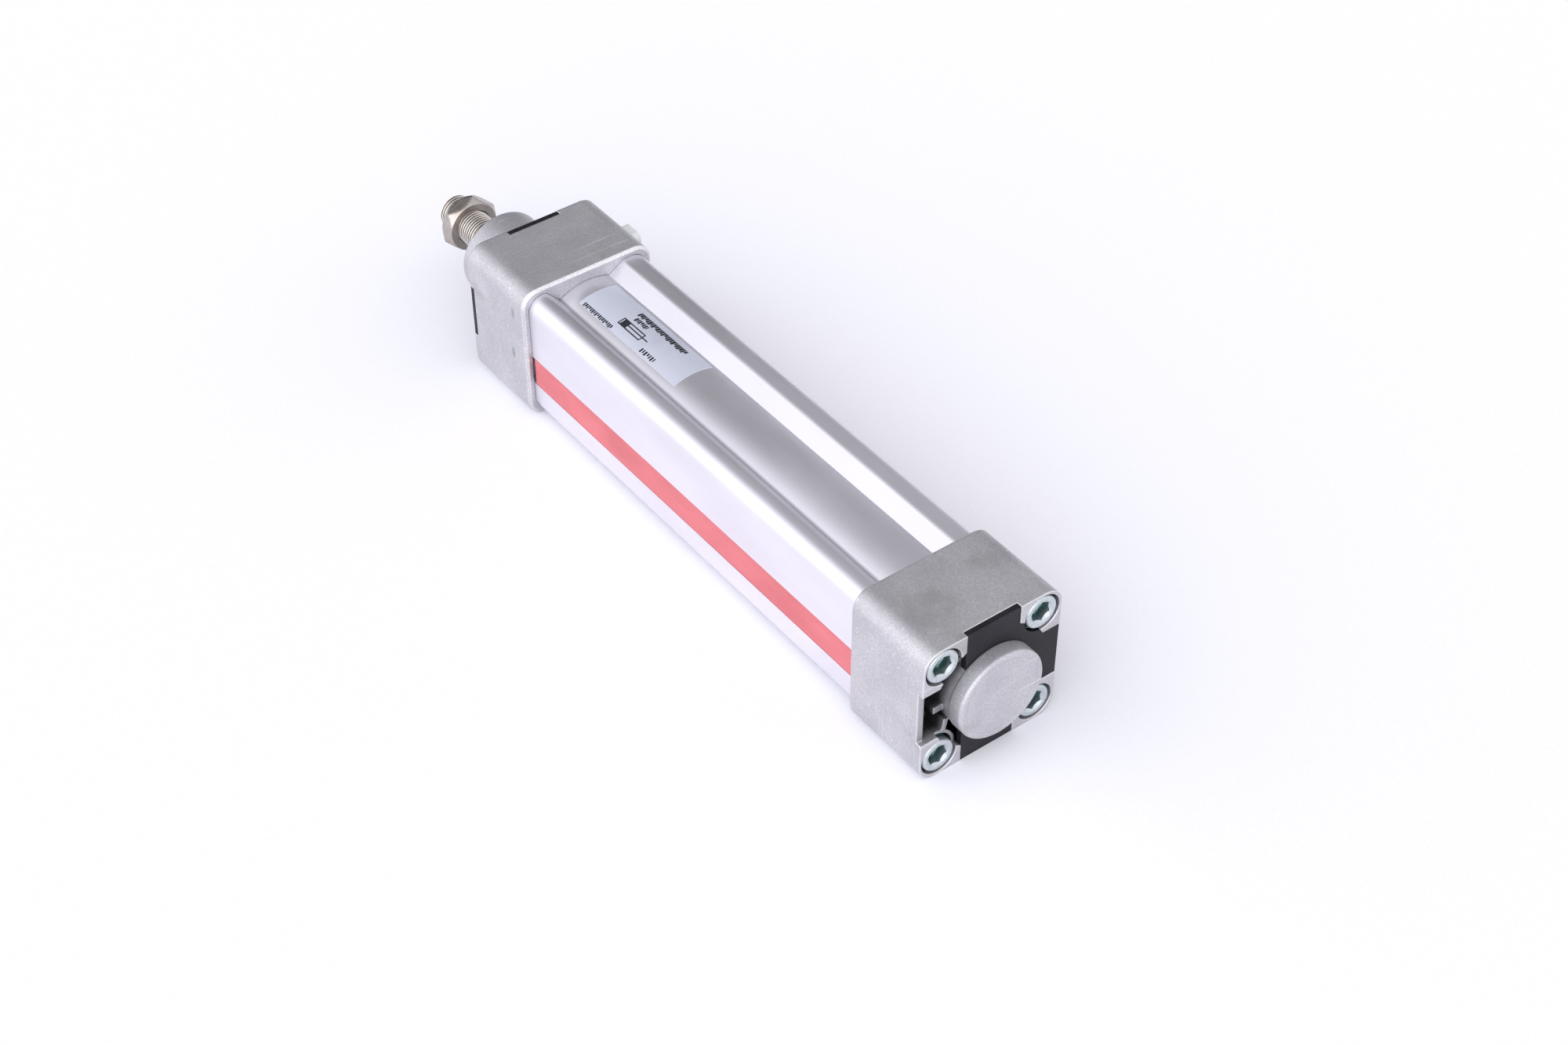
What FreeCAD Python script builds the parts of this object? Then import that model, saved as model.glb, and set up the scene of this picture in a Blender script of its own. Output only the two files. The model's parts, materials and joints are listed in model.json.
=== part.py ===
import FreeCAD, Part
import math
import os

# Double-acting pneumatic cylinder with a profile barrel, bore 50, stroke 200, in millimetres.
# +X points out along the piston rod, +Z is the label side, -Y is the port side.
# The origin is the middle of the front cap's mounting face, on the rod axis.
# The rod is drawn fully retracted.

STROKE = 200.0
BORE_R = 25.0
BODY_LENGTH = 306.0            # mounting face to mounting face
SCREW_AT = 46.5 / 2            # cap screw pitch square, half side

# End caps. Depth t runs from the mounting face into the cylinder.
CAP_HALF = 32.5
CAP_CORNER_R = 8.0
CAP_LENGTH = 42.5
CAP_CHAMFER = 1.1
SPIGOT_R = 19.95               # 40 mm locating boss, tolerance d11
CAST_BOSS_R = 19.5             # as cast, below the mounting face
REAR_BOSS_LENGTH = 6.8
FRONT_BOSS_LENGTH = 28.2
WALL = 3.0
ARM_HALF = 12.7                # half width of the four cored arms in the mounting face
RECESS_R = 27.4                # cored ring round the boss
RECESS_DEPTH = 13.0
ARM_DEPTH = 30.0
NOTCH_DEPTH = 2.7
TUBE_R = 9.8                   # cast tubes round the cap screws
TUBE_START = 3.1
SOCKET_R = 8.4                 # counterbores for the cap screw heads
SOCKET_DEPTH = 20.5
POCKET_START = 38.0            # the barrel stands in a pocket of the cap
POCKET_GAP = 0.12
COLLAR_R = 24.9                # cap collar that centres the barrel
COLLAR_END = 42.0

# Cap screws
HEAD_R = 7.25
HEAD_START = 0.3
HEAD_LENGTH = 20.0
HEX_AF = 8.0
HEX_DEPTH = 5.0
HEX_PHASES = [15.0, 14.0, 22.0, 30.0]
TAPPED_R = 3.4                 # M8 mounting thread inside each head
SHANK_R = 3.0
SHANK_HOLE_R = 3.15
SHANK_END = 58.0

# Ports and cushion adjusters, on the -Y side
PORT_R = 5.72                  # G1/4 core radius
PORT_T = 22.0
PORT_DEPTH = 12.0
CUSHION_R = 12.5
CUSHION_END = 16.0
ADJUSTER_R = 3.5
ADJUSTER_T = 32.0
ADJUSTER_Z = -11.0

# Barrel extrusion
BARREL_HALF = 29.5
BARREL_CORNER_R = 7.0
TUBE_OUTER_R = 26.8
GROOVE_PLUS = 14.2             # inner corner of the channels on the +Y side
GROOVE_MINUS = 10.6            # and on the -Y side
RIM_PLUS = 20.6                # where the +Y channel wall meets the outer face
RIM_MINUS = 18.2               # and the -Y one
RIM_R = 3.5
WALL_SHIFT = 0.4               # how far a channel wall moves for each millimetre of pocket gap
STRIP_TOP = 0.0
STRIP_BOTTOM = -14.0
STRIP_DEPTH = 1.0
STRIP_END_GAP = 1.6            # bare slot between the strip's end and the cap

# Piston rod and nut
ROD_R = 10.0
SHOULDER_X = 37.0
ROD_END_X = 68.0
THREAD_R = 8.0                 # M16x1.5 major radius
PITCH_R = 7.5
NUT_X = 51.2
NUT_HEIGHT = 8.0
NUT_AF = 24.0
NUT_PHASE = 40.0
NUT_CHAMFER = 2.8              # chamfer depth along the axis at the corners

# Piston
PISTON_LENGTH = 21.4
PISTON_R = 24.6
STUD_R = 5.0
SLEEVE_LENGTH = 24.0
SLEEVE_R = 11.6

FRONT_X = 0.0
REAR_X = -BODY_LENGTH
BARREL_X0 = REAR_X + POCKET_START
BARREL_X1 = FRONT_X - POCKET_START
PISTON_X0 = REAR_X + COLLAR_END + 0.3
PISTON_X1 = PISTON_X0 + PISTON_LENGTH
CORNERS = [(sy * SCREW_AT, sz * SCREW_AT) for sy in (1, -1) for sz in (1, -1)]


def vec(x, y, z):
    return FreeCAD.Vector(x, y, z)


def rod_x(x0, x1, r, y=0.0, z=0.0):
    return Part.makeCylinder(r, x1 - x0, vec(x0, y, z), vec(1, 0, 0))


def ring_x(x0, x1, r_out, r_in, y=0.0, z=0.0):
    hole = rod_x(x0 - 1, x1 + 1, r_in, y, z)
    return rod_x(x0, x1, r_out, y, z).cut(hole)


def cone_x(x0, x1, r0, r1, y=0.0, z=0.0):
    return Part.makeCone(r0, r1, x1 - x0, vec(x0, y, z), vec(1, 0, 0))


def rod_y(y0, y1, r, x, z):
    return Part.makeCylinder(r, y1 - y0, vec(x, y0, z), vec(0, 1, 0))


def box(x0, x1, y0, y1, z0, z1):
    return Part.makeBox(x1 - x0, y1 - y0, z1 - z0, vec(x0, y0, z0))


def prism_x(points, x0, x1):
    """Extrude a closed outline of (y, z) points along X."""
    corners = [vec(x0, y, z) for y, z in points]
    wire = Part.makePolygon(corners + corners[:1])
    return Part.Face(wire).extrude(vec(x1 - x0, 0, 0))


def turned(points):
    """Turn a closed (x, radius) outline about the rod axis."""
    corners = [vec(x, 0, r) for x, r in points]
    wire = Part.makePolygon(corners + corners[:1])
    return Part.Face(wire).revolve(vec(0, 0, 0), vec(1, 0, 0), 360)


def hexagon(af, x0, x1, y=0.0, z=0.0, phase=0.0):
    r = af / math.sqrt(3)
    angles = [math.radians(phase + 60 * i) for i in range(6)]
    return prism_x([(y + r * math.cos(a), z + r * math.sin(a)) for a in angles], x0, x1)


def long_edges(shape, test):
    """Edges parallel to X whose (|y|, |z|) passes the test."""
    found = []
    for edge in shape.Edges:
        a = edge.Vertexes[0].Point
        b = edge.Vertexes[-1].Point
        if abs(a.y - b.y) < 1e-4 and abs(a.z - b.z) < 1e-4 and test(abs(a.y), abs(a.z)):
            found.append(edge)
    return found


def end_edges(shape, x):
    box_of = [(e, e.BoundBox) for e in shape.Edges]
    return [e for e, b in box_of if abs(b.XMin - x) < 1e-4 and abs(b.XMax - x) < 1e-4]


def rounded_square(half, radius, x0, x1):
    block = box(x0, x1, -half, half, -half, half)
    return block.makeFillet(radius, long_edges(block, lambda y, z: True))


def union(shapes):
    return shapes[0].multiFuse(shapes[1:]).removeSplitter()


def quarter_turns(shape):
    """The shape and its copies turned by 90, 180 and 270 degrees about the rod axis."""
    copies = []
    for i in range(4):
        copy = shape.copy()
        copy.rotate(vec(0, 0, 0), vec(1, 0, 0), 90 * i)
        copies.append(copy)
    return copies


def at_front(shape):
    """Place a cap-depth shape on the front cap, whose depth runs towards -X."""
    return shape.mirror(vec(0, 0, 0), vec(1, 0, 0))


def at_rear(shape):
    moved = shape.copy()
    moved.translate(vec(REAR_X, 0, 0))
    return moved


def save(name, shapes):
    solids = shapes if isinstance(shapes, list) else [shapes]
    part = Part.makeCompound(solids) if len(solids) > 1 else solids[0]
    part.exportStep(os.path.join("parts", name + ".step"))


# ---------------------------------------------------------------- barrel

def barrel_outline(x0, x1, gap=0.0):
    """Square extrusion with a wide channel along the top and bottom, down to the tube wall."""
    half = BARREL_HALF + gap
    tube_r = TUBE_OUTER_R + gap
    solid = rounded_square(half, BARREL_CORNER_R, x0, x1)
    walls = []
    for sign, groove_y, rim_y in ((1, GROOVE_PLUS, RIM_PLUS), (-1, GROOVE_MINUS, RIM_MINUS)):
        inner_y = groove_y - WALL_SHIFT * gap
        outer_y = rim_y - WALL_SHIFT * gap
        inner_z = math.sqrt(tube_r ** 2 - inner_y ** 2)
        slope = (outer_y - inner_y) / (half - inner_z)
        walls.append(((sign * inner_y, inner_z), (sign * (outer_y + 2 * slope), half + 2)))
    for side in (1, -1):
        outline = [walls[0][0], walls[0][1], walls[1][1], walls[1][0]]
        points = [(y, side * z) for y, z in outline]
        channel = prism_x(points, x0 - 1, x1 + 1).cut(rod_x(x0 - 2, x1 + 2, tube_r))
        solid = solid.cut(channel)
    at_rims = [rim_y - WALL_SHIFT * gap for rim_y in (RIM_PLUS, RIM_MINUS)]
    rims = long_edges(solid, lambda y, z: abs(z - half) < 0.01 and min(abs(y - at) for at in at_rims) < 0.01)
    return solid.makeFillet(RIM_R, rims)


def strip_channel(side):
    """Shallow seat for the cover strip with the sensor slot behind it."""
    x0, x1 = BARREL_X0 - 1, BARREL_X1 + 1
    seat = (side * (BARREL_HALF - STRIP_DEPTH), side * (BARREL_HALF + 1))
    slot = (side * 26.6, side * BARREL_HALF)
    shallow = box(x0, x1, min(seat), max(seat), STRIP_BOTTOM, STRIP_TOP)
    return shallow.fuse(box(x0, x1, min(slot), max(slot), -11.0, -4.0))


def make_barrel():
    solid = barrel_outline(BARREL_X0, BARREL_X1)
    cuts = [rod_x(BARREL_X0 - 1, BARREL_X1 + 1, BORE_R)]
    cuts += [rod_x(BARREL_X0 - 1, BARREL_X1 + 1, SHANK_R + 0.05, y, z) for y, z in CORNERS]
    cuts += [strip_channel(1), strip_channel(-1)]
    for cut in cuts:
        solid = solid.cut(cut)
    return solid


def make_strip(side):
    """Plastic strip closing the sensor slot between the two caps."""
    x0 = REAR_X + CAP_LENGTH + STRIP_END_GAP
    x1 = -CAP_LENGTH - STRIP_END_GAP
    face = (side * (BARREL_HALF - STRIP_DEPTH), side * (BARREL_HALF - 0.1))
    tongue = (side * 27.0, side * (BARREL_HALF - STRIP_DEPTH))
    plate = box(x0, x1, min(face), max(face), STRIP_BOTTOM + 0.1, STRIP_TOP - 0.1)
    return plate.fuse(box(x0, x1, min(tongue), max(tongue), -10.8, -4.2)).removeSplitter()


def make_label():
    """Thin film on the top of the tube wall, between the two lobes."""
    x0, x1 = -119.8, -51.4
    film = ring_x(x0, x1, TUBE_OUTER_R + 0.15, TUBE_OUTER_R)
    left, right = math.radians(22.4), math.radians(-19.0)
    reach = 40.0
    points = [(0, 0), (reach * math.sin(left), reach * math.cos(left)), (0, reach)]
    points += [(reach * math.sin(right), reach * math.cos(right))]
    return film.common(prism_x(points, x0, x1))


# ---------------------------------------------------------------- end caps

def boss(length, edge_r):
    spigot = rod_x(-length, 0, SPIGOT_R)
    spigot = spigot.makeFillet(edge_r, end_edges(spigot, -length))
    return spigot.fuse(rod_x(-0.5, RECESS_DEPTH, CAST_BOSS_R))


def cap_core(closed_side_depth):
    """Everything cored out of the mounting face, before the screw tubes are put back."""
    cuts = [rod_x(-1, RECESS_DEPTH, RECESS_R)]
    inner = CAP_HALF - WALL
    for i, arm in enumerate(quarter_turns(box(-1, ARM_DEPTH, 0, inner, -ARM_HALF, ARM_HALF))):
        if i == 2:
            depth = closed_side_depth
            arm = box(-1, depth, -inner, 0, -ARM_HALF, ARM_HALF)
        cuts.append(arm)
    notch = box(-1, NOTCH_DEPTH, inner - 1, CAP_HALF + 1, -ARM_HALF, ARM_HALF)
    cuts += quarter_turns(notch)
    return union(cuts)


def screw_tubes():
    """Cast tubes round the cap screws, each tied to the boss by a thin web."""
    tubes = [rod_x(TUBE_START, RECESS_DEPTH, TUBE_R, y, z) for y, z in CORNERS]
    web = prism_x([(16.9, -9.7), (19.0, -9.0), (20.4, -16.2), (18.6, -17.0)], TUBE_START, RECESS_DEPTH)
    return tubes + quarter_turns(web)


def cap_blank(boss_length, edge_r):
    """A cap's outside, cored face, screw holes, barrel pocket and collar, in depth coordinates."""
    block = rounded_square(CAP_HALF, CAP_CORNER_R, 0, CAP_LENGTH)
    block = block.makeChamfer(CAP_CHAMFER, end_edges(block, CAP_LENGTH))
    core = cap_core(RECESS_DEPTH).cut(rod_x(-2, ARM_DEPTH + 1, CAST_BOSS_R))
    for tube in screw_tubes():
        core = core.cut(tube)
    cap = block.cut(core).fuse(boss(boss_length, edge_r))
    for y, z in CORNERS:
        cap = cap.cut(rod_x(-1, SOCKET_DEPTH, SOCKET_R, y, z))
        cap = cap.cut(rod_x(SOCKET_DEPTH - 1, CAP_LENGTH + 1, SHANK_HOLE_R, y, z))
    pocket = barrel_outline(POCKET_START, CAP_LENGTH + 1, POCKET_GAP)
    collar = rod_x(POCKET_START, COLLAR_END, COLLAR_R)
    return cap.cut(pocket).fuse(collar).removeSplitter()


def cap_bores(cap):
    """Seal groove, cushion chamber, port, cushion adjuster and bumper seat."""
    groove = ring_x(38.9, 41.1, COLLAR_R + 1, 22.95)
    bumper_seat = ring_x(40.0, COLLAR_END + 1, 21.5, 17.5)
    chamber = rod_x(CUSHION_END, COLLAR_END + 1, CUSHION_R)
    seal_seat = rod_x(37.0, COLLAR_END + 1, 15.0)
    port = rod_y(-CAP_HALF - 1, -CAP_HALF + PORT_DEPTH, PORT_R, PORT_T, 0)
    duct = rod_y(-CAP_HALF + PORT_DEPTH - 1, -8, 4.0, PORT_T, 0)
    adjuster = rod_y(-CAP_HALF - 1, -19.0, ADJUSTER_R, ADJUSTER_T, ADJUSTER_Z)
    needle = rod_y(-20.0, -4.0, 1.6, ADJUSTER_T, ADJUSTER_Z)
    for cut in (groove, bumper_seat, chamber, seal_seat, port, duct, adjuster, needle):
        cap = cap.cut(cut)
    return cap


def make_rear_cap():
    cap = cap_bores(cap_blank(REAR_BOSS_LENGTH, 1.4))
    rib = box(4.0, ARM_DEPTH, 18.5, 23.7, -4.0, -1.2)
    face_ring = ring_x(-REAR_BOSS_LENGTH - 1, -REAR_BOSS_LENGTH + 0.15, 17.1, 16.8)
    return at_rear(cap.fuse(rib).cut(face_ring).removeSplitter())


def make_front_cap():
    cap = cap_bores(cap_blank(FRONT_BOSS_LENGTH, 0.8))
    bush_seat = rod_x(-16.0, CUSHION_END + 1, 12.0)
    wiper_seat = rod_x(-FRONT_BOSS_LENGTH - 1, -19.7, 14.5)
    passage = rod_x(-20.5, -15.0, 11.0)
    for cut in (bush_seat, wiper_seat, passage):
        cap = cap.cut(cut)
    return at_front(cap)


def make_insert(arms):
    """Plastic cover that closes the cored face; arms are the quarter turns it has lips on."""
    gap = 0.1
    plate = rod_x(0.25, 2.9, RECESS_R - gap)
    inner = CAP_HALF - WALL
    half = ARM_HALF - gap
    parts = [plate]
    bars = quarter_turns(box(0.25, 2.9, 0, inner - gap, -half, half))
    lips = quarter_turns(box(0.25, NOTCH_DEPTH - gap, inner - 1, CAP_HALF, -half, half))
    skirts = quarter_turns(box(2.0, 9.0, 26.4, inner - gap, -half, half))
    hollows = quarter_turns(box(2.9, 10.0, 25.0, inner - gap - 1.4, -half + 1.4, half - 1.4))
    for i in arms:
        parts += [bars[i], lips[i], skirts[i]]
    solid = union(parts)
    for i in arms:
        solid = solid.cut(hollows[i])
    solid = solid.cut(rod_x(-1, 20, CAST_BOSS_R + 0.15))
    for y, z in CORNERS:
        solid = solid.cut(rod_x(-1, 20, SOCKET_R, y, z))
    if 0 not in arms:
        solid = solid.cut(box(-1, 20, ARM_HALF - gap, 40, -40, 40))
    return solid


def cap_screw(y, z, phase):
    """Head with hexagon socket and mounting thread, and a shank screwed into the barrel corner."""
    end = HEAD_START + HEAD_LENGTH
    head = rod_x(HEAD_START, end, HEAD_R, y, z)
    head = head.makeChamfer(0.5, end_edges(head, HEAD_START))
    screw = head.fuse(rod_x(end - 1, SHANK_END, SHANK_R, y, z)).removeSplitter()
    socket = hexagon(HEX_AF, HEAD_START - 1, HEAD_START + HEX_DEPTH, y, z, phase)
    mouth = cone_x(HEAD_START - 0.01, HEAD_START + 1.0, 5.2, 4.0, y, z)
    thread = rod_x(HEAD_START + HEX_DEPTH - 1, end - 2.0, TAPPED_R, y, z)
    for cut in (socket, mouth, thread):
        screw = screw.cut(cut)
    return screw


def make_oring(t):
    return Part.makeTorus(23.95, 0.9, vec(t, 0, 0), vec(1, 0, 0))


def make_cushion_seal():
    """Lip ring that closes round the cushion sleeve."""
    outline = [(37.2, 12.6), (37.2, 14.9), (41.9, 14.9), (41.9, 13.4), (40.6, 12.0), (39.2, 12.0)]
    return turned(outline)


def make_adjuster():
    """Slotted brass needle screw for the end cushioning."""
    y0 = -CAP_HALF + 0.6
    body = rod_y(y0, -20.0, ADJUSTER_R - 0.05, ADJUSTER_T, ADJUSTER_Z)
    needle = Part.makeCone(1.3, 0.5, 7.0, vec(ADJUSTER_T, -20.5, ADJUSTER_Z), vec(0, 1, 0))
    slot = box(ADJUSTER_T - 4, ADJUSTER_T + 4, y0 - 1, y0 + 1.6, ADJUSTER_Z - 0.5, ADJUSTER_Z + 0.5)
    return body.fuse(needle).removeSplitter().cut(slot)


def make_port_plug():
    """Soft plastic transport plug with a strap and a finger tab."""
    face = -CAP_HALF - 0.1
    stem = rod_y(face - 0.5, face + 9.0, PORT_R - 0.07, PORT_T, 0)
    stem = stem.cut(rod_y(face + 1.5, face + 10.0, PORT_R - 1.4, PORT_T, 0))
    flange = rod_y(face - 1.8, face, 9.0, PORT_T, 0)
    strap = box(PORT_T - 4.0, PORT_T + 4.0, face - 2.4, face - 0.4, 0, 21.0)
    tab = box(PORT_T - 6.8, PORT_T + 4.8, face - 5.4, face - 0.4, 18.6, 24.6)
    rims = [e for e in tab.Edges if abs(e.Vertexes[0].X - e.Vertexes[-1].X) < 1e-6]
    upright = [e for e in rims if abs(e.Vertexes[0].Y - e.Vertexes[-1].Y) > 1.0]
    tab = tab.makeFillet(2.9, upright)
    return union([stem, flange, strap, tab])


def make_bumper():
    return ring_x(40.1, COLLAR_END, 21.4, 17.6)


# ---------------------------------------------------------------- rod and piston

def make_rod():
    """Chromed rod with a threaded end and a stud that carries the piston."""
    outline = [(PISTON_X0 - 10.0, 0), (PISTON_X0 - 10.0, STUD_R - 0.6), (PISTON_X0 - 9.4, STUD_R)]
    outline += [(PISTON_X1, STUD_R), (PISTON_X1, ROD_R), (SHOULDER_X - 1.2, ROD_R)]
    outline += [(SHOULDER_X, ROD_R - 1.2), (SHOULDER_X, 6.9), (SHOULDER_X + 1.6, 6.9)]
    outline += [(SHOULDER_X + 2.2, PITCH_R), (NUT_X + NUT_HEIGHT, PITCH_R)]
    outline += [(NUT_X + NUT_HEIGHT, THREAD_R), (ROD_END_X - 1.0, THREAD_R)]
    outline += [(ROD_END_X, THREAD_R - 1.0), (ROD_END_X, 0)]
    return turned(outline)


def make_rod_nut():
    """Thin hexagon nut, chamfered on both sides."""
    x0, x1 = NUT_X, NUT_X + NUT_HEIGHT
    nut = hexagon(NUT_AF, x0, x1, 0, 0, NUT_PHASE)
    corner = NUT_AF / math.sqrt(3)
    face_r = NUT_AF / 2
    outline = [(x0, 0), (x0, face_r), (x0 + NUT_CHAMFER, corner)]
    outline += [(x1 - NUT_CHAMFER, corner), (x1, face_r), (x1, 0)]
    nut = nut.common(turned(outline)).cut(rod_x(x0 - 1, x1 + 1, PITCH_R + 0.05))
    nut = nut.cut(cone_x(x0 - 0.01, x0 + 1.0, 8.3, PITCH_R + 0.05))
    return nut.cut(cone_x(x1 - 1.0, x1 + 0.01, PITCH_R + 0.05, 8.3))


def make_bush():
    return ring_x(-14.0, 14.0, 11.98, ROD_R + 0.05)


def make_wiper():
    """Combined rod seal and wiper with a lip standing at the mouth of the boss."""
    back, front = 19.9, FRONT_BOSS_LENGTH - 0.9
    outline = [(back, 10.5), (back, 14.4), (front, 14.4), (front, 12.6), (front + 2, 11.0)]
    outline += [(front + 2, 10.3), (front + 0.8, 10.3), (front - 1, 11.4)]
    outline += [(back + 2.8, 11.4), (back + 1.8, 10.3), (back + 1, 10.3)]
    return turned(outline)


def piston_half(side):
    """One half of the piston, side 1 towards the rod, with seal groove and magnet pocket."""
    middle = (PISTON_X0 + PISTON_X1) / 2
    reach = PISTON_LENGTH / 2
    outline = [(0, STUD_R), (0, 15.9), (2.6, 15.9), (2.6, 21.6), (0, 21.6), (0, 22.6)]
    outline += [(3.7, 22.6), (3.7, PISTON_R), (5.3, PISTON_R), (5.3, 19.5), (9.3, 19.5)]
    outline += [(9.3, 23.6), (10.2, 23.6), (reach, 23.1), (reach, STUD_R)]
    return turned([(middle + side * t, r) for t, r in outline])


def make_piston_seal(side):
    """Cup seal with its lip towards the pressure side."""
    middle = (PISTON_X0 + PISTON_X1) / 2
    outline = [(5.5, 19.6), (5.5, 23.4), (7.4, 23.8), (9.0, 24.7), (9.1, 24.2)]
    outline += [(8.0, 22.0), (9.1, 20.4), (9.1, 19.6)]
    return turned([(middle + side * t, r) for t, r in outline])


def make_piston_nut():
    x1 = PISTON_X0
    nut = hexagon(16.0, x1 - 8.0, x1, 0, 0, 0)
    outline = [(x1 - 8, 0), (x1 - 8, 7.8), (x1 - 7.1, 9.4), (x1, 9.4), (x1, 0)]
    return nut.common(turned(outline)).cut(rod_x(x1 - 9, x1 + 1, STUD_R))


def make_sleeve(x0, x1, nose, inner_r):
    """Cushion sleeve with a tapered nose at the end given by nose, 0 or 1."""
    tube = ring_x(x0, x1, SLEEVE_R, inner_r)
    return tube.makeChamfer(0.9, [e for e in end_edges(tube, (x0, x1)[nose])
                                  if e.Curve.Radius > SLEEVE_R - 0.01])


def save_all():
    middle = (PISTON_X0 + PISTON_X1) / 2
    screws = [cap_screw(y, z, phase) for (y, z), phase in zip(CORNERS, HEX_PHASES)]
    save("barrel", make_barrel())
    save("front_cap", make_front_cap())
    save("rear_cap", make_rear_cap())
    save("front_cap_screws", [at_front(s) for s in screws])
    save("rear_cap_screws", [at_rear(s) for s in screws])
    save("front_insert", at_front(make_insert([0, 1, 2, 3])))
    save("rear_insert", at_rear(make_insert([1, 2, 3])))
    save("strip_left", make_strip(1))
    save("strip_right", make_strip(-1))
    save("label", make_label())
    save("piston_rod", make_rod())
    save("rod_nut", make_rod_nut())
    save("rod_bush", make_bush())
    save("rod_wiper", make_wiper())
    save("piston_front_half", piston_half(1))
    save("piston_rear_half", piston_half(-1))
    save("piston_magnet", ring_x(middle - 2.5, middle + 2.5, 21.5, 16.0))
    save("piston_guide_ring", ring_x(middle - 3.6, middle + 3.6, 24.95, 22.65))
    save("piston_seal_front", make_piston_seal(1))
    save("piston_seal_rear", make_piston_seal(-1))
    save("piston_nut", make_piston_nut())
    save("front_cushion_sleeve", make_sleeve(PISTON_X1, PISTON_X1 + SLEEVE_LENGTH, 1, ROD_R))
    save("rear_cushion_sleeve", make_sleeve(PISTON_X0 - SLEEVE_LENGTH, PISTON_X0, 0, 9.6))
    for name, place in (("front", at_front), ("rear", at_rear)):
        save(name + "_cushion_seal", place(make_cushion_seal()))
        save(name + "_barrel_oring", place(make_oring(40.0)))
        save(name + "_cushion_screw", place(make_adjuster()))
        save(name + "_bumper", place(make_bumper()))
    save("front_port_plug", at_front(make_port_plug()))


os.makedirs("parts", exist_ok=True)
save_all()
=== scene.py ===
import json
import math

import bmesh
import bpy
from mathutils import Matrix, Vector


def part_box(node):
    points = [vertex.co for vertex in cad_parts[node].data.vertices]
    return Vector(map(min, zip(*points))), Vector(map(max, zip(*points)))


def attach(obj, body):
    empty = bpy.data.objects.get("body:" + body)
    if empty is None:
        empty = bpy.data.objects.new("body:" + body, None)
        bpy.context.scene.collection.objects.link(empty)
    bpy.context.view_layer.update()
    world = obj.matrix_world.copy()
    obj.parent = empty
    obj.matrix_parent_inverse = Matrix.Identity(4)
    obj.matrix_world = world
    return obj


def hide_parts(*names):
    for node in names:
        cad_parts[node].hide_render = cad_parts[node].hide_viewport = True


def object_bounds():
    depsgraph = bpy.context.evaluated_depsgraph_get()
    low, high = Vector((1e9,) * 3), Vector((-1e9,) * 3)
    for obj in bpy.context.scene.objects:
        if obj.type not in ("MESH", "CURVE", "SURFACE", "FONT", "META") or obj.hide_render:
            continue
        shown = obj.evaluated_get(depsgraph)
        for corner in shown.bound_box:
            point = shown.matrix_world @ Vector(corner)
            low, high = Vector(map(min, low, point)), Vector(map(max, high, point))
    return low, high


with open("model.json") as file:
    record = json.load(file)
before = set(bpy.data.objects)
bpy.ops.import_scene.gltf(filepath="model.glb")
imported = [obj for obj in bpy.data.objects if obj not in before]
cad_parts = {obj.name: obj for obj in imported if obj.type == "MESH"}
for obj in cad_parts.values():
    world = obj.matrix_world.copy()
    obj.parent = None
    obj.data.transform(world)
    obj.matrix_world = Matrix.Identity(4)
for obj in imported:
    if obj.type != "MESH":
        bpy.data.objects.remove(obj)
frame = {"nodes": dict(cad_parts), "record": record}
cad_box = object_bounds()
nodes = frame["nodes"]
MM = 0.001

# Places on the CAD parts, in metres, that the materials follow. Most pairs are where a blend
# starts and ends.
REAR_FACE_X = -0.306
CHANNEL_CORNER = (0.0142, 0.0227)       # y and |z| of the painted shade line in the channels
CORNER_CENTRE = 0.0245                  # centre of the caps' rounded corners, on both axes
SIDE_FACE = (0.0320, 0.0324)            # just inside a cap's side and right on it
RIM_DEPTH = (0.0412, 0.0415)            # the chamfered rim where a cap ends at the barrel, which gets a painted highlight
RIM_OUTLINE = (0.0066, 0.0070)
RIM_HEIGHT = (0.0235, 0.0290)
CORE_OUTLINE = (0.0077, 0.0070)         # inside the cored mounting faces
CORE_DEPTH = (0.0018, 0.0065)
CORE_END = (0.034, 0.032)
SCUFFS = ((-0.0342, 0.0193), (-0.0324, -0.0028))
SCUFF_HALF = (0.0012, 0.0028)           # half length along X and along Z
SCREW_FACES_X = (-0.3057, -0.0003)
SOCKET_DEPTH = (0.0008, 0.0035)
THREAD_FLANK_R = (0.00705, 0.0078)
THREAD_CREST_R = (0.0076, 0.00795)


# ------------------------------------------------------------ node helpers

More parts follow.
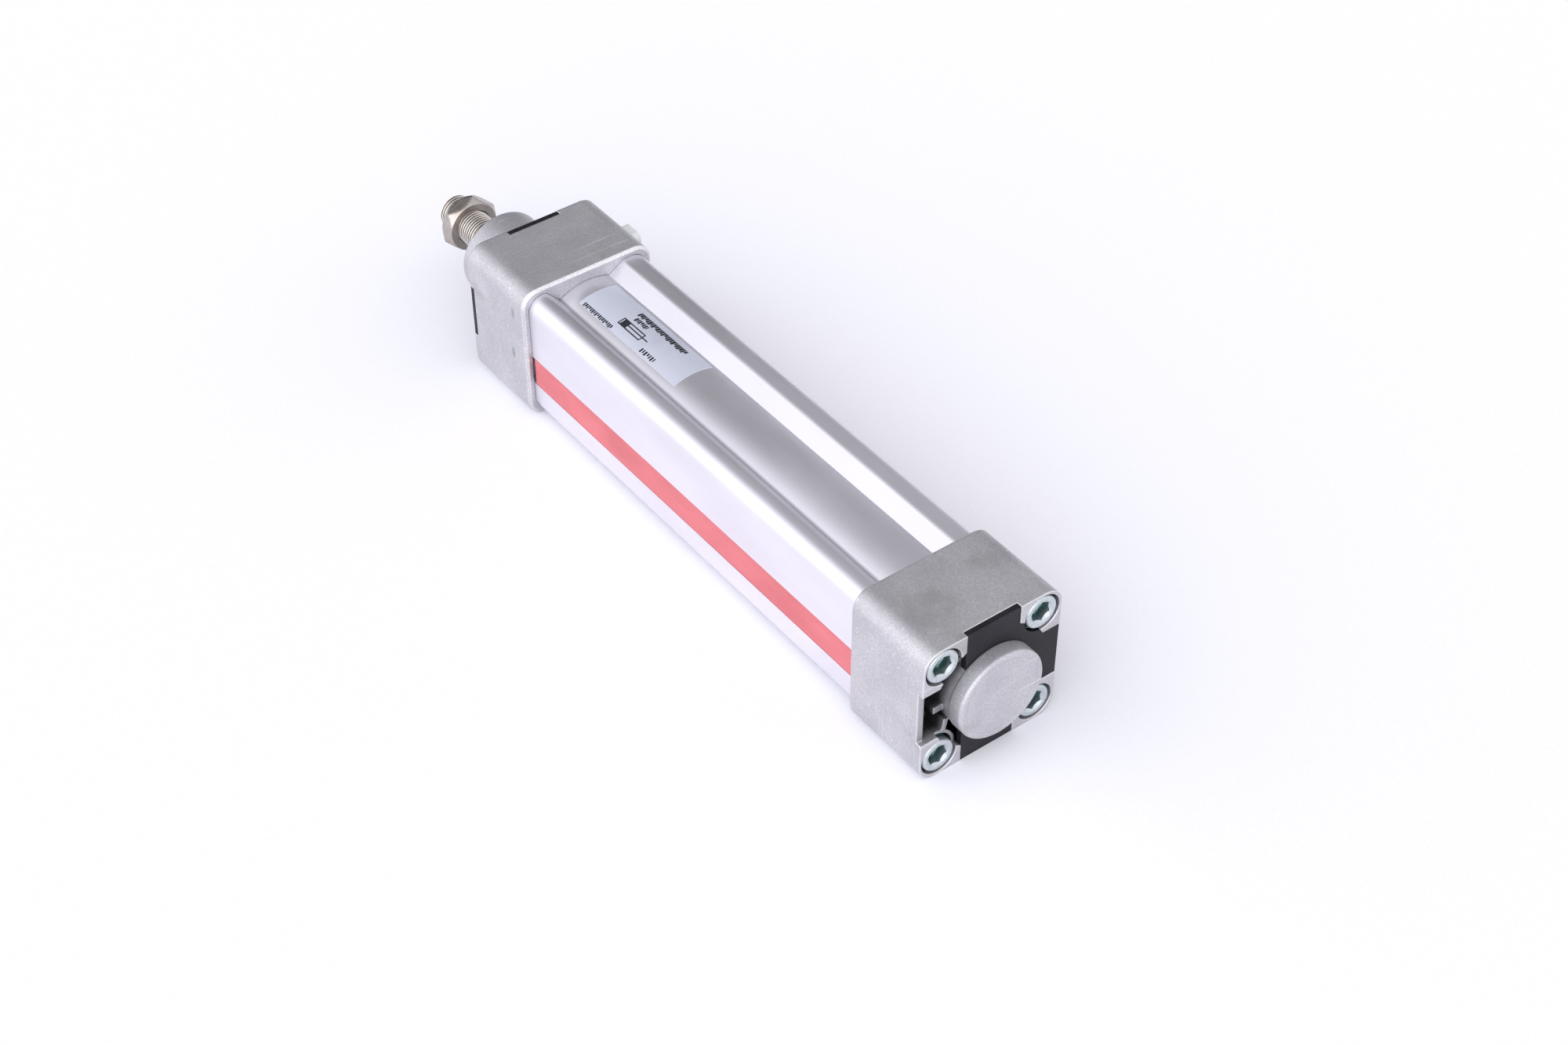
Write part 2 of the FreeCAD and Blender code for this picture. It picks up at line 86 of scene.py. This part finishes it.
class Nodes:
    """A small builder for one material's node tree."""

    def __init__(self, name):
        self.mat = bpy.data.materials.new(name)
        self.mat.use_nodes = True
        self.tree = self.mat.node_tree
        self.bsdf = self.tree.nodes["Principled BSDF"]
        self.at = self.add("ShaderNodeTexCoord").outputs["Object"]

    def add(self, kind, **settings):
        node = self.tree.nodes.new(kind)
        for key, value in settings.items():
            setattr(node, key, value)
        return node

    def link(self, a, b):
        self.tree.links.new(a, b)

    def put(self, socket, value):
        if isinstance(value, bpy.types.NodeSocket):
            self.link(value, socket)
        else:
            socket.default_value = value

    def scaled(self, scale, turn=(0, 0, 0)):
        node = self.add("ShaderNodeMapping")
        self.link(self.at, node.inputs["Vector"])
        node.inputs["Scale"].default_value = scale
        node.inputs["Rotation"].default_value = turn
        return node.outputs["Vector"]

    def noise(self, scale, stretch=(1, 1, 1), detail=3.0, rough=0.5, turn=(0, 0, 0)):
        node = self.add("ShaderNodeTexNoise")
        self.link(self.scaled(stretch, turn), node.inputs["Vector"])
        node.inputs["Scale"].default_value = scale
        node.inputs["Detail"].default_value = detail
        node.inputs["Roughness"].default_value = rough
        return node.outputs["Fac"]

    def cells(self, scale, stretch=(1, 1, 1)):
        node = self.add("ShaderNodeTexVoronoi")
        self.link(self.scaled(stretch), node.inputs["Vector"])
        node.inputs["Scale"].default_value = scale
        return node.outputs["Distance"]

    def spread(self, value, low, high, out_low=0.0, out_high=1.0):
        node = self.add("ShaderNodeMapRange", clamp=True)
        self.put(node.inputs["Value"], value)
        node.inputs["From Min"].default_value = low
        node.inputs["From Max"].default_value = high
        node.inputs["To Min"].default_value = out_low
        node.inputs["To Max"].default_value = out_high
        return node.outputs["Result"]

    def maths(self, operation, a, b=0.0):
        node = self.add("ShaderNodeMath", operation=operation)
        self.put(node.inputs[0], a)
        self.put(node.inputs[1], b)
        return node.outputs[0]

    def sum_squares(self, a, b):
        return self.maths("ADD", self.maths("MULTIPLY", a, a), self.maths("MULTIPLY", b, b))

    def hypot(self, a, b):
        return self.maths("SQRT", self.sum_squares(a, b))

    def mix(self, factor, a, b):
        node = self.add("ShaderNodeMix", data_type="RGBA")
        self.put(node.inputs["Factor"], factor)
        self.put(node.inputs["A"], a)
        self.put(node.inputs["B"], b)
        return node.outputs["Result"]

    def axis(self, name):
        node = self.add("ShaderNodeSeparateXYZ")
        self.link(self.at, node.inputs[0])
        return node.outputs[name]

    def edges(self, radius):
        """1 on worn outer edges and 0 on flat faces, and the normal with its edges rounded."""
        bevel = self.add("ShaderNodeBevel", samples=6)
        bevel.inputs["Radius"].default_value = radius
        normal = self.add("ShaderNodeNewGeometry").outputs["Normal"]
        dot = self.add("ShaderNodeVectorMath", operation="DOT_PRODUCT")
        self.link(bevel.outputs["Normal"], dot.inputs[0])
        self.link(normal, dot.inputs[1])
        return self.spread(dot.outputs["Value"], 0.99, 0.85), bevel.outputs["Normal"]

    def bump(self, height, strength, distance, normal=None):
        node = self.add("ShaderNodeBump")
        self.link(height, node.inputs["Height"])
        node.inputs["Strength"].default_value = strength
        node.inputs["Distance"].default_value = distance
        if normal is not None:
            self.link(normal, node.inputs["Normal"])
        self.link(node.outputs["Normal"], self.bsdf.inputs["Normal"])

    def set(self, **values):
        for key, value in values.items():
            self.put(self.bsdf.inputs[key.replace("_", " ")], value)


def rgb(r, g, b):
    return (r, g, b, 1.0)


# ------------------------------------------------------------ materials

def barrel_anodised():
    """Satin anodised extrusion: fine die lines along X and soft uneven sheen."""
    n = Nodes("barrel_anodised")
    lines = n.noise(2600, (0.012, 1, 1), 2.0)
    patches = n.noise(38, (0.35, 1, 1), 3.0)
    tone = n.mix(n.spread(patches, 0.35, 0.7), rgb(0.79, 0.775, 0.825), rgb(0.86, 0.845, 0.905))
    tone = n.mix(n.spread(lines, 0.6, 0.75, 0, 0.35), tone, rgb(0.70, 0.70, 0.72))
    # Painted shade: a thin dark line along the +Y channel's corner, where its fillet lies in
    # shadow.
    corner_y, corner_z = CHANNEL_CORNER
    across = n.maths("SUBTRACT", n.axis("Y"), corner_y)
    height = n.maths("SUBTRACT", n.maths("ABSOLUTE", n.axis("Z")), corner_z)
    line = n.spread(n.hypot(across, height), 0.0013, 0.0004, 0, 0.62)
    tone = n.mix(line, tone, rgb(0.20, 0.20, 0.22))
    n.set(Base_Color=tone, Metallic=0.92, Roughness=n.spread(patches, 0.3, 0.7, 0.34, 0.42))
    n.bump(lines, 0.12, 0.00004)
    return n.mat


def cap_depth(n):
    """Depth behind the nearer mounting face, negative on the bosses that stand out of it."""
    rear_depth = n.maths("SUBTRACT", n.axis("X"), REAR_FACE_X)
    front_depth = n.maths("SUBTRACT", 0.0, n.axis("X"))
    return n.maths("MINIMUM", rear_depth, front_depth)


def from_outline(n):
    """8 mm all over the cap's rounded square outside, and less inside it."""
    past = []
    for name in ("Y", "Z"):
        over = n.maths("SUBTRACT", n.maths("ABSOLUTE", n.axis(name)), CORNER_CENTRE)
        past.append(n.maths("MAXIMUM", over, 0.0))
    return n.hypot(*past)


def core_shadow(n, depth, outline):
    """1 on the surfaces down inside the cored mounting faces, which get painted shade, 0 on
    everything outside.
    """
    within = n.spread(outline, *CORE_OUTLINE)
    deep_shade = n.spread(depth, *CORE_DEPTH)
    ends = n.spread(depth, *CORE_END)
    return n.maths("MULTIPLY", n.maths("MULTIPLY", within, deep_shade), n.maths("MULTIPLY", ends, 0.9))


def scuff(n, x, z):
    """A dark oval rub mark on the +Y side of the front cap."""
    half_x, half_z = SCUFF_HALF
    across = n.maths("DIVIDE", n.maths("SUBTRACT", n.axis("X"), x), half_x)
    along = n.maths("DIVIDE", n.maths("SUBTRACT", n.axis("Z"), z), half_z)
    mark = n.spread(n.sum_squares(across, along), 1.6, 0.2, 0, 0.6)
    return n.maths("MULTIPLY", mark, n.spread(n.axis("Y"), *SIDE_FACE))


def cap_cast():
    """Blasted die casting with rubbed edges, fine scratches, pits and smudges."""
    n = Nodes("cap_cast")
    worn, rounded = n.edges(0.0009)
    grain = n.noise(1500, detail=5.0, rough=0.75)
    speckle = n.spread(n.noise(1150, detail=2.0), 0.58, 0.68, 0, 0.40)
    cloud = n.noise(55, detail=4.0)
    smudge = n.spread(n.noise(26, (1, 1, 1.6), 5.0, 0.6), 0.60, 0.70, 0, 0.5)
    scratch = n.spread(n.noise(700, (1, 0.02, 1), 2.0, turn=(0.3, 0.5, 0.6)), 0.66, 0.72, 0, 0.7)
    sanding = n.spread(n.noise(900, (1, 1, 0.03), 3.0), 0.58, 0.70, 0, 0.22)
    pits = n.spread(n.cells(300), 0.045, 0.025)
    tone = n.mix(n.spread(cloud, 0.35, 0.65), rgb(0.555, 0.55, 0.58), rgb(0.655, 0.65, 0.67))
    tone = n.mix(n.spread(grain, 0.40, 0.60, 0, 0.62), tone, rgb(0.39, 0.385, 0.41))
    tone = n.mix(speckle, tone, rgb(0.68, 0.67, 0.68))
    tone = n.mix(smudge, tone, rgb(0.37, 0.36, 0.36))
    sanding = n.maths("MULTIPLY", sanding, n.spread(n.axis("Y"), 0.0318, 0.0324, 0.3, 1.6))
    tone = n.mix(sanding, tone, rgb(0.66, 0.65, 0.65))
    tone = n.mix(scratch, tone, rgb(0.78, 0.77, 0.77))
    tone = n.mix(pits, tone, rgb(0.10, 0.10, 0.10))
    tone = n.mix(worn, tone, rgb(0.88, 0.87, 0.87))
    depth, outline = cap_depth(n), from_outline(n)
    # Painted highlight on the chamfered rim where a cap ends at the barrel, stronger towards the
    # top.
    rim_highlight = n.maths("MULTIPLY", n.spread(depth, *RIM_DEPTH), n.spread(outline, *RIM_OUTLINE))
    rim_highlight = n.maths("MULTIPLY", rim_highlight, n.spread(n.axis("Z"), *RIM_HEIGHT, 0.25, 0.9))
    rim_highlight_tone = n.mix(n.spread(grain, 0.45, 0.6), rgb(0.90, 0.88, 0.90), rgb(0.66, 0.64, 0.66))
    tone = n.mix(rim_highlight, tone, rim_highlight_tone)
    for x, z in SCUFFS:
        tone = n.mix(scuff(n, x, z), tone, rgb(0.24, 0.24, 0.26))
    # Painted shade, near black, down inside the cored mounting faces.
    tone = n.mix(core_shadow(n, depth, outline), tone, rgb(0.022, 0.022, 0.024))
    n.set(Base_Color=tone, Metallic=0.80, Roughness=n.spread(worn, 0, 1, 0.50, 0.34))
    n.bump(grain, 0.70, 0.00011, rounded)
    return n.mat


def screw_zinc():
    """Bright zinc heads, with painted shade in a darker greenish tone deep in the sockets."""
    n = Nodes("screw_zinc")
    worn, rounded = n.edges(0.0003)
    rear_x, front_x = SCREW_FACES_X
    near_rear = n.maths("SUBTRACT", n.axis("X"), rear_x)
    near_front = n.maths("SUBTRACT", front_x, n.axis("X"))
    depth = n.maths("MINIMUM", n.maths("ABSOLUTE", near_rear), n.maths("ABSOLUTE", near_front))
    # Painted shade: the sockets turn darker and greenish with depth below the head's face.
    deep_shade = n.spread(depth, *SOCKET_DEPTH)
    turned = n.noise(900, detail=3.0)
    tone = n.mix(n.spread(turned, 0.4, 0.65), rgb(0.53, 0.58, 0.60), rgb(0.63, 0.68, 0.70))
    tone = n.mix(deep_shade, tone, rgb(0.22, 0.37, 0.36))
    tone = n.mix(worn, tone, rgb(0.92, 0.94, 0.93))
    n.set(Base_Color=tone, Metallic=0.9, Roughness=n.spread(turned, 0.35, 0.65, 0.34, 0.44))
    n.bump(turned, 0.06, 0.00003, rounded)
    return n.mat


def nickel(name, dark, light):
    """Nickel plate with a warm cast, turning marks and rubbed corners."""
    n = Nodes(name)
    worn, rounded = n.edges(0.00025)
    marks = n.noise(1500, (1, 0.1, 0.1), 3.0)
    cloud = n.noise(160)
    tone = n.mix(n.spread(cloud, 0.35, 0.65), rgb(*dark), rgb(*light))
    tone = n.mix(worn, tone, rgb(0.88, 0.86, 0.83))
    n.set(Base_Color=tone, Metallic=1.0, Roughness=n.spread(marks, 0.35, 0.65, 0.24, 0.36))
    n.bump(marks, 0.1, 0.00003, rounded)
    return n.mat


def rod_thread():
    """Rolled thread: bronze-grey flanks, with painted shade in the roots and painted highlights
    on the crests.
    """
    n = Nodes("rod_thread")
    radius = n.hypot(n.axis("Y"), n.axis("Z"))
    flank = n.spread(radius, *THREAD_FLANK_R)
    crest_highlight = n.spread(radius, *THREAD_CREST_R)
    marks = n.noise(1500, (1, 0.1, 0.1), 3.0)
    # Painted shade darkens the thread's roots and a painted highlight brightens its crests, both
    # set by radius.
    tone = n.mix(flank, rgb(0.16, 0.13, 0.11), rgb(0.50, 0.45, 0.40))
    tone = n.mix(crest_highlight, tone, rgb(0.86, 0.83, 0.78))
    n.set(Base_Color=tone, Metallic=1.0, Roughness=n.spread(marks, 0.35, 0.65, 0.28, 0.40))
    return n.mat


def plastic(name, dark, light, roughness, grain_scale, grain_strength):
    """Moulded or extruded plastic with a fine grain and slight unevenness."""
    n = Nodes(name)
    worn, rounded = n.edges(0.0002)
    grain = n.noise(grain_scale, detail=4.0, rough=0.65)
    cloud = n.noise(90, (0.4, 1, 1))
    tone = n.mix(n.spread(cloud, 0.35, 0.65), rgb(*dark), rgb(*light))
    pale = tuple(min(1.0, c * 1.5 + 0.04) for c in light)
    tone = n.mix(n.maths("MULTIPLY", worn, 0.6), tone, rgb(*pale))
    rough = n.spread(grain, 0.35, 0.65, roughness - 0.05, roughness + 0.05)
    n.set(Base_Color=tone, Roughness=rough)
    n.bump(grain, grain_strength, 0.00004, rounded)
    return n.mat


def label_film():
    """Pale metallised film with handling marks."""
    n = Nodes("label_film")
    stains = n.spread(n.noise(60, detail=4.0), 0.55, 0.72, 0, 0.4)
    grain = n.noise(1600, detail=2.0)
    tone = n.mix(stains, rgb(0.74, 0.77, 0.88), rgb(0.60, 0.62, 0.71))
    n.set(Base_Color=tone, Metallic=0.45, Roughness=n.spread(grain, 0.35, 0.65, 0.32, 0.40))
    n.bump(grain, 0.05, 0.00002)
    return n.mat


def label_ink():
    n = Nodes("label_ink")
    coverage = n.noise(1800, detail=3.0)
    tone = n.mix(n.spread(coverage, 0.55, 0.75), rgb(0.012, 0.013, 0.02), rgb(0.07, 0.07, 0.09))
    n.set(Base_Color=tone, Roughness=n.spread(coverage, 0.3, 0.7, 0.42, 0.55))
    return n.mat


def turned_metal(name, dark, light, roughness):
    n = Nodes(name)
    marks = n.noise(1400, (1, 0.08, 0.08), 3.0)
    cloud = n.noise(120)
    tone = n.mix(n.spread(cloud, 0.35, 0.65), rgb(*dark), rgb(*light))
    n.set(Base_Color=tone, Metallic=1.0,
          Roughness=n.spread(marks, 0.35, 0.65, roughness - 0.05, roughness + 0.06))
    n.bump(marks, 0.15, 0.00003)
    return n.mat


def floor_paper():
    n = Nodes("floor_paper")
    fibre = n.noise(900, detail=2.0)
    tone = n.mix(n.spread(fibre, 0.3, 0.7), rgb(0.855, 0.855, 0.895), rgb(0.875, 0.875, 0.915))
    n.set(Base_Color=tone, Roughness=0.9)
    n.bsdf.inputs["Specular IOR Level"].default_value = 0.1
    return n.mat


TURNED = {
    "rod_chrome": ((0.68, 0.67, 0.66), (0.76, 0.75, 0.75), 0.14),
    "bush_bronze": ((0.46, 0.33, 0.16), (0.58, 0.43, 0.22), 0.38),
    "piston_alloy": ((0.60, 0.60, 0.61), (0.70, 0.70, 0.71), 0.30),
    "adjuster_brass": ((0.62, 0.47, 0.20), (0.75, 0.60, 0.30), 0.28),
}

# dark tone, light tone, roughness, grain scale, grain strength
PLASTICS = {
    "insert_black": ((0.006, 0.006, 0.009), (0.011, 0.011, 0.016), 0.52, 1500, 0.15),
    "strip_red": ((0.55, 0.120, 0.135), (0.63, 0.155, 0.170), 0.50, 1300, 0.12),
    "seal_polyurethane": ((0.05, 0.11, 0.07), (0.08, 0.16, 0.10), 0.38, 900, 0.08),
    "seal_rubber": ((0.014, 0.014, 0.014), (0.030, 0.030, 0.030), 0.62, 1200, 0.15),
    "magnet_bonded": ((0.06, 0.055, 0.055), (0.10, 0.09, 0.09), 0.55, 1500, 0.20),
    "guide_plastic": ((0.06, 0.13, 0.16), (0.10, 0.19, 0.23), 0.50, 1200, 0.12),
    "plug_polyethylene": ((0.80, 0.82, 0.81), (0.88, 0.89, 0.88), 0.40, 800, 0.08),
}


def make_materials():
    made = {"barrel_anodised": barrel_anodised(), "cap_cast": cap_cast()}
    made["screw_zinc"] = screw_zinc()
    made["nut_nickel"] = nickel("nut_nickel", (0.41, 0.365, 0.33), (0.525, 0.48, 0.445))
    made["rod_thread"] = rod_thread()
    made["label_film"] = label_film()
    made["label_ink"] = label_ink()
    for name, look in TURNED.items():
        made[name] = turned_metal(name, *look)
    for name, look in PLASTICS.items():
        made[name] = plastic(name, *look)
    black = made["insert_black"].node_tree.nodes["Principled BSDF"]
    black.inputs["Specular IOR Level"].default_value = 0.3
    soft = made["plug_polyethylene"].node_tree.nodes["Principled BSDF"]
    soft.inputs["Subsurface Weight"].default_value = 0.5
    soft.inputs["Subsurface Radius"].default_value = (0.004, 0.004, 0.004)
    soft.inputs["Transmission Weight"].default_value = 0.15
    return made


def dress(obj, material):
    obj.data.materials.clear()
    obj.data.materials.append(material)


# ------------------------------------------------------------ mesh pieces

def new_piece(name, verts, faces, material, body):
    mesh = bpy.data.meshes.new(name)
    mesh.from_pydata(verts, [], faces)
    bm = bmesh.new()
    bm.from_mesh(mesh)
    bmesh.ops.recalc_face_normals(bm, faces=bm.faces)
    bm.to_mesh(mesh)
    bm.free()
    obj = bpy.data.objects.new(name, mesh)
    bpy.context.scene.collection.objects.link(obj)
    dress(obj, material)
    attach(obj, body)
    return obj


def smooth(obj, angle=35):
    for polygon in obj.data.polygons:
        polygon.use_smooth = True
    obj.data.set_sharp_from_angle(angle=math.radians(angle))


def ring_points(rings):
    """Points of rings round the X axis, each a list of (x, radius) in mm."""
    verts = []
    for ring in rings:
        for i, (x, r) in enumerate(ring):
            a = 2 * math.pi * i / len(ring)
            verts.append((x * MM, r * MM * math.cos(a), r * MM * math.sin(a)))
    return verts


# The rod, in mm.
ROD_SIDES = 120
ROWS_PER_PITCH = 24
STUD_TIP_R = 4.4
STUD_CHAMFER = 0.6
STUD_R = 5.0
STUD_END_X = -242.3
SHANK_R = 10.0
SHOULDER_X = 37.0
RELIEF_R = 6.9
THREAD_START_X = 38.6
THREAD_TIP_R = 6.75
THREAD_PITCH = 1.5
THREAD_MAJOR = 7.95
THREAD_MINOR = 7.05


def thread_radius(turns, ceiling):
    """Radius of a rounded thread at a place along its pitch, capped by the end chamfers."""
    place = turns % 1.0
    flank = min(place, 1.0 - place) * 2.0
    rise = max(0.0, min(1.0, (flank - 0.06) / 0.86))
    rise = rise * rise * (3.0 - 2.0 * rise)
    return min(THREAD_MINOR + (THREAD_MAJOR - THREAD_MINOR) * rise, ceiling)


def make_threaded_rod(made):
    """Chromed shank, relief, and a helical thread with chamfered ends."""
    low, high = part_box("piston_rod")
    start, tip = THREAD_START_X, high.x / MM
    count = ROD_SIDES
    steps = int((tip - start) / THREAD_PITCH * ROWS_PER_PITCH)
    outline = (
        (low.x / MM, STUD_TIP_R),
        (low.x / MM + STUD_CHAMFER, STUD_R),
        (STUD_END_X, STUD_R),
        (STUD_END_X, SHANK_R),
        (SHOULDER_X - 1.2, SHANK_R),
        (SHOULDER_X - 0.5, 9.6),
        (SHOULDER_X, 8.8),
        (SHOULDER_X, RELIEF_R),
    )
    rows = [[point] * count for point in outline]
    for k in range(steps + 1):
        x = start + (tip - start) * k / steps
        ceiling = min(RELIEF_R + (x - start) * 0.9, THREAD_TIP_R + (tip - x) * 1.05)
        ceiling = min(THREAD_MAJOR, ceiling)
        row = [(x, thread_radius(x / THREAD_PITCH - i / count, ceiling)) for i in range(count)]
        rows.append(row)
    verts = [(rows[0][0][0] * MM, 0, 0)] + ring_points(rows)
    verts.append((tip * MM, 0, 0))
    faces = []
    for i in range(count):
        j = (i + 1) % count
        faces.append((0, 1 + j, 1 + i))
        for k in range(len(rows) - 1):
            a, b = 1 + k * count, 1 + (k + 1) * count
            faces.append((a + i, a + j, b + j, b + i))
        last = 1 + (len(rows) - 1) * count
        faces.append((last + i, last + j, len(verts) - 1))
    rod = new_piece("threaded_rod", verts, faces, made["rod_chrome"], "rod_assembly")
    rod.data.materials.append(made["rod_thread"])
    for polygon in rod.data.polygons:
        if polygon.center.x > (SHOULDER_X - 0.1) * MM:
            polygon.material_index = 1
    smooth(rod, 75)
    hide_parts("piston_rod")


# The nut, in mm and degrees.
NUT_PHASE = 40.0
NUT_HALF_FLATS = 12.0
NUT_BORE_R = 8.03
NUT_MOUTH_R = 8.5
NUT_MOUTH_DEPTH = 0.5
NUT_CHAMFER_INSET = 0.35
NUT_CHAMFER_ANGLE = 32
NUT_SIDES = 180
NUT_ROWS = 15


def make_nut(made):
    """Hexagon nut with turned chamfers and a countersunk bore that clears the thread's crests."""
    low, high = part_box("rod_nut")
    x0, x1 = low.x / MM, high.x / MM
    flat, bore, mouth = NUT_HALF_FLATS, NUT_BORE_R, NUT_MOUTH_R
    corner = 2 * flat / math.sqrt(3)
    count, rows = NUT_SIDES, NUT_ROWS

    def hex_radius(angle):
        local = (math.degrees(angle) - NUT_PHASE) % 60.0 - 30.0
        return flat / math.cos(math.radians(local))

    def outer(x, angle):
        edge = min(x - x0, x1 - x)
        turned = flat - NUT_CHAMFER_INSET + edge * math.tan(math.radians(NUT_CHAMFER_ANGLE))
        return min(hex_radius(angle), turned, corner)

    rings = [[(x0 + NUT_MOUTH_DEPTH, bore)] * count, [(x0, mouth)] * count]
    for k in range(rows):
        share = 0.5 - 0.5 * math.cos(math.pi * k / (rows - 1))
        x = x0 + (x1 - x0) * share
        rings.append([(x, outer(x, 2 * math.pi * i / count)) for i in range(count)])
    rings += [[(x1, mouth)] * count, [(x1 - NUT_MOUTH_DEPTH, bore)] * count]
    verts = ring_points(rings)
    faces = []
    for k in range(len(rings)):
        a, b = k * count, ((k + 1) % len(rings)) * count
        for i in range(count):
            j = (i + 1) % count
            faces.append((a + i, a + j, b + j, b + i))
    nut = new_piece("hexagon_nut", verts, faces, made["nut_nickel"], "nut")
    smooth(nut, 22)
    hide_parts("rod_nut")


# ------------------------------------------------------------ label print

PRINT_R = 26.98
# Where each line runs from and to in x, its first angle and its height in degrees, the widths
# of its blocks and the gap between them.
PRINT_LINES = (
    (-74.8, -107.5, -12.7, 6.4, (1.1, 1.4, 0.9, 1.2), 0.22),
    (-76.8, -85.0, -4.8, 5.2, (1.1, 0.8, 1.0), 0.30),
    (-53.6, -74.0, 17.6, 4.4, (0.8, 1.0, 0.7, 0.9), 0.36),
    (-93.4, -102.8, 15.0, 4.8, (0.9, 0.7, 1.0), 0.6),
)
BLOCK_RISES = (1.0, 0.82, 1.0, 0.64, 0.9)


def printed_patch(x0, x1, a0, a1):
    """A curved strip on the tube wall, from x0 to x1, between two angles from +Z towards +Y."""
    steps = max(2, int(abs(a1 - a0)) + 1)
    verts, faces = [], []
    for k in range(steps + 1):
        a = math.radians(a0 + (a1 - a0) * k / steps)
        for x in (x0, x1):
            verts.append((x * MM, PRINT_R * math.sin(a) * MM, PRINT_R * math.cos(a) * MM))
    for k in range(steps):
        faces.append((2 * k, 2 * k + 1, 2 * k + 3, 2 * k + 2))
    return verts, faces


def dashes(x0, x1, base, height, widths, gap):
    """A row of plain uneven blocks that stands where a line of print would be."""
    patches, x, k = [], x0, 0
    while x > x1:
        width = widths[k % len(widths)]
        rise = height * BLOCK_RISES[k % len(BLOCK_RISES)]
        patches.append((x, max(x - width, x1), base, base + rise))
        x -= width + gap
        k += 1
    return patches


def pictogram():
    """The usual symbol of a double-acting cylinder: a case, a piston and its rod."""
    line = 0.6
    near, middle, far = 4.0, 7.5, 11.5
    left, right = -73.4, -88.6
    piston_left, piston_right = -74.6, -78.4
    rod_left, rod_right = -78.2, -92.0
    arc = math.degrees(line / PRINT_R)
    patches = [(left, right, near, near + arc), (left, right, far, far + arc)]
    patches += [(left, left - line, near, far), (right + line, right, near, far)]
    patches += [(piston_left, piston_right, near, far)]
    patches += [(rod_left, rod_right, middle, middle + arc)]
    return patches


def make_print(made):
    patches = []
    for line in PRINT_LINES:
        patches += dashes(*line)
    patches += pictogram()
    verts, faces = [], []
    for patch in patches:
        more, quads = printed_patch(*patch)
        faces += [tuple(len(verts) + i for i in quad) for quad in quads]
        verts += more
    marks = new_piece("label_print", verts, faces, made["label_ink"], "housing")
    for polygon in marks.data.polygons:
        polygon.use_smooth = True


# ------------------------------------------------------------ stage, light and camera

FLOOR_REACH = 6.0
LIGHT_COLOUR = (0.955, 0.955, 1.0)
BASE_LIGHT = 0.045
# The axis of a direction, where its light starts and is full, and how much it adds.
LIGHT_RAMPS = (
    ("Y", -0.10, 0.68, 1.38),
    ("X", 0.72, 0.50, 0.50),
    ("X", 0.40, -0.50, 0.62),
)
CAMERA_LENS = 60.13
CAMERA_SENSOR = 36.0
CAMERA_AT = Vector((-0.79744, 0.46376, 0.69047))
CAMERA_FORWARD = Vector((0.59194, -0.44450, -0.67233))


def make_stage():
    mesh = bpy.data.meshes.new("floor")
    z, reach = cad_box[0].z, FLOOR_REACH
    corners = [(-reach, -reach, z), (reach, -reach, z), (reach, reach, z), (-reach, reach, z)]
    mesh.from_pydata(corners, [], [(0, 1, 2, 3)])
    floor = bpy.data.objects.new("floor", mesh)
    bpy.context.scene.collection.objects.link(floor)
    dress(floor, floor_paper())
    make_studio_light()


def make_studio_light():
    """A white tent: brightest on the +Y side, bright on the -X side, dim past the rod's end."""
    world = bpy.data.worlds.new("studio")
    world.use_nodes = True
    tree = world.node_tree
    at = tree.nodes.new("ShaderNodeTexCoord")
    part = tree.nodes.new("ShaderNodeSeparateXYZ")
    tree.links.new(at.outputs["Generated"], part.inputs[0])

    def ramp(axis, low, high, amount):
        node = tree.nodes.new("ShaderNodeMapRange")
        node.interpolation_type = "SMOOTHSTEP"
        tree.links.new(part.outputs[axis], node.inputs["Value"])
        node.inputs["From Min"].default_value = low
        node.inputs["From Max"].default_value = high
        node.inputs["To Max"].default_value = amount
        return node.outputs["Result"]

    def total(a, b):
        node = tree.nodes.new("ShaderNodeMath")
        tree.links.new(a, node.inputs[0])
        if isinstance(b, float):
            node.inputs[1].default_value = b
        else:
            tree.links.new(b, node.inputs[1])
        return node.outputs[0]

    strength = ramp(*LIGHT_RAMPS[0])
    for settings in LIGHT_RAMPS[1:]:
        strength = total(strength, ramp(*settings))
    strength = total(strength, BASE_LIGHT)
    background = tree.nodes["Background"]
    background.inputs["Color"].default_value = rgb(*LIGHT_COLOUR)
    tree.links.new(strength, background.inputs["Strength"])
    bpy.context.scene.world = world


def make_camera():
    data = bpy.data.cameras.new("camera")
    data.lens = CAMERA_LENS
    data.sensor_width = CAMERA_SENSOR
    camera = bpy.data.objects.new("camera", data)
    camera.location = CAMERA_AT
    camera.rotation_euler = CAMERA_FORWARD.to_track_quat("-Z", "Y").to_euler()
    bpy.context.scene.collection.objects.link(camera)
    bpy.context.scene.camera = camera


def dress_nodes(made):
    for entry in frame["record"]["subparts"]:
        node = nodes[entry["node"]]
        dress(node, made[entry["material_slot"]])


materials = make_materials()
make_camera()
make_stage()
dress_nodes(materials)
make_threaded_rod(materials)
make_nut(materials)
make_print(materials)
bpy.context.scene.view_settings.view_transform = "Standard"
